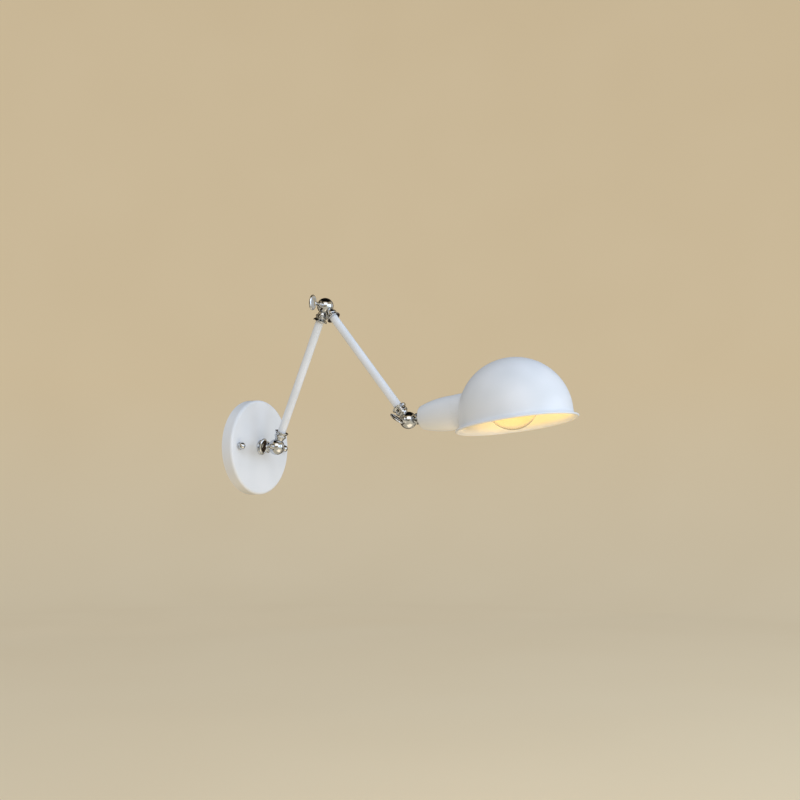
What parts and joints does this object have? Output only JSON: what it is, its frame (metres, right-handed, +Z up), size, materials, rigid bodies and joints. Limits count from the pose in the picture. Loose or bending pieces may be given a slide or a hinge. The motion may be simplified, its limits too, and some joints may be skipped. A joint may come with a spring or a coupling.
{
  "type": "swing arm wall lamp",
  "caption": "Wall lamp with a round wall plate, folding arms on ball knuckles with wing screws, and a bowl shade on a lampholder cup.",
  "frame": {"origin": "centre of the wall plate's back, on the wall", "axes": "+Y into the wall, so the lamp stands out along -Y; +Z up; pivots along X"},
  "size_m": [0.138, 0.4335, 0.2439],
  "materials": {
    "white_paint": "smooth white paint, semi-gloss",
    "chrome": "polished chrome plate",
    "zinc_steel": "zinc plated",
    "fibre": "pressed fibre",
    "nylon": "moulded, matt",
    "brass": "plain turned",
    "black_plastic": "moulded, satin",
    "clear_glass": "clear, lit warm white",
    "cap_metal": "rolled",
    "black_glass": "fused, glossy",
    "tungsten": "drawn wire, glowing"
  },
  "bodies": {
    "wall_base": {"wall_plate": "white_paint", "mounting_bracket": "zinc_steel", "bracket_studs": "zinc_steel", "cap_nuts": "chrome", "earth_screw": "zinc_steel", "terminal_block": "nylon", "terminal_block_screws": "brass", "base_nipple": "zinc_steel", "base_nut": "zinc_steel", "base_collar": "chrome", "base_knuckle_fixed": "chrome", "base_friction_washer": "fibre"},
    "lower_arm": {"base_knuckle_turning": "chrome", "lower_arm_collar_bottom": "chrome", "lower_arm_tube": "white_paint", "lower_arm_collar_top": "chrome", "elbow_knuckle_lower": "chrome", "elbow_friction_washer": "fibre"},
    "upper_arm": {"elbow_knuckle_upper": "chrome", "upper_arm_collar_top": "chrome", "upper_arm_tube": "white_paint", "upper_arm_collar_bottom": "chrome", "wrist_knuckle_arm": "chrome", "wrist_friction_washer": "fibre"},
    "shade_head": {"wrist_knuckle_shade": "chrome", "cup_collar": "chrome", "cup_nipple": "zinc_steel", "cup_nut": "zinc_steel", "lamp_cup": "white_paint", "lampholder_cap": "black_plastic", "lampholder_body": "black_plastic", "socket_shell": "brass", "centre_contact": "brass", "lampholder_terminals": "brass", "shade_ring": "black_plastic", "shade_bowl": "white_paint"},
    "base_wing": {"base_wing_screw": "chrome"},
    "elbow_wing": {"elbow_wing_screw": "chrome"},
    "wrist_wing": {"wrist_wing_screw": "chrome"},
    "bulb": {"bulb_glass": "clear_glass", "bulb_cap": "cap_metal", "bulb_insulator": "black_glass", "bulb_contact": "cap_metal", "bulb_stem": "clear_glass", "bulb_leads": "tungsten", "bulb_filament": "tungsten"}
  },
  "joints": [
    {"name": "base_pivot", "type": "hinge", "parent": "wall_base", "child": "lower_arm", "pos_m": [0, -0.039, 0], "axis": [1, 0, 0], "range_deg": [-22.5, 97.5]},
    {"name": "elbow_pivot", "type": "hinge", "parent": "lower_arm", "child": "upper_arm", "pos_m": [0, -0.11094, 0.17369], "axis": [1, 0, 0], "range_deg": [-120, 2]},
    {"name": "shade_pivot", "type": "hinge", "parent": "upper_arm", "child": "shade_head", "pos_m": [0, -0.22849, 0.02697], "axis": [1, 0, 0], "range_deg": [-58, 100]},
    {"name": "base_wing_turn", "type": "hinge", "parent": "wall_base", "child": "base_wing", "pos_m": [0, -0.039, 0], "axis": [-1, 0, 0], "range_deg": [-15, 345]},
    {"name": "elbow_wing_turn", "type": "hinge", "parent": "lower_arm", "child": "elbow_wing", "pos_m": [0, -0.11094, 0.17369], "axis": [-1, 0, 0], "range_deg": [-15, 345]},
    {"name": "wrist_wing_turn", "type": "hinge", "parent": "upper_arm", "child": "wrist_wing", "pos_m": [0, -0.22849, 0.02697], "axis": [-1, 0, 0], "range_deg": [-15, 345]},
    {"name": "bulb_turn", "type": "hinge", "parent": "shade_head", "child": "bulb", "pos_m": [0, -0.22849, 0.02697], "axis": [0, -0.994, 0.1097], "range_deg": [0, 360]}
  ]
}
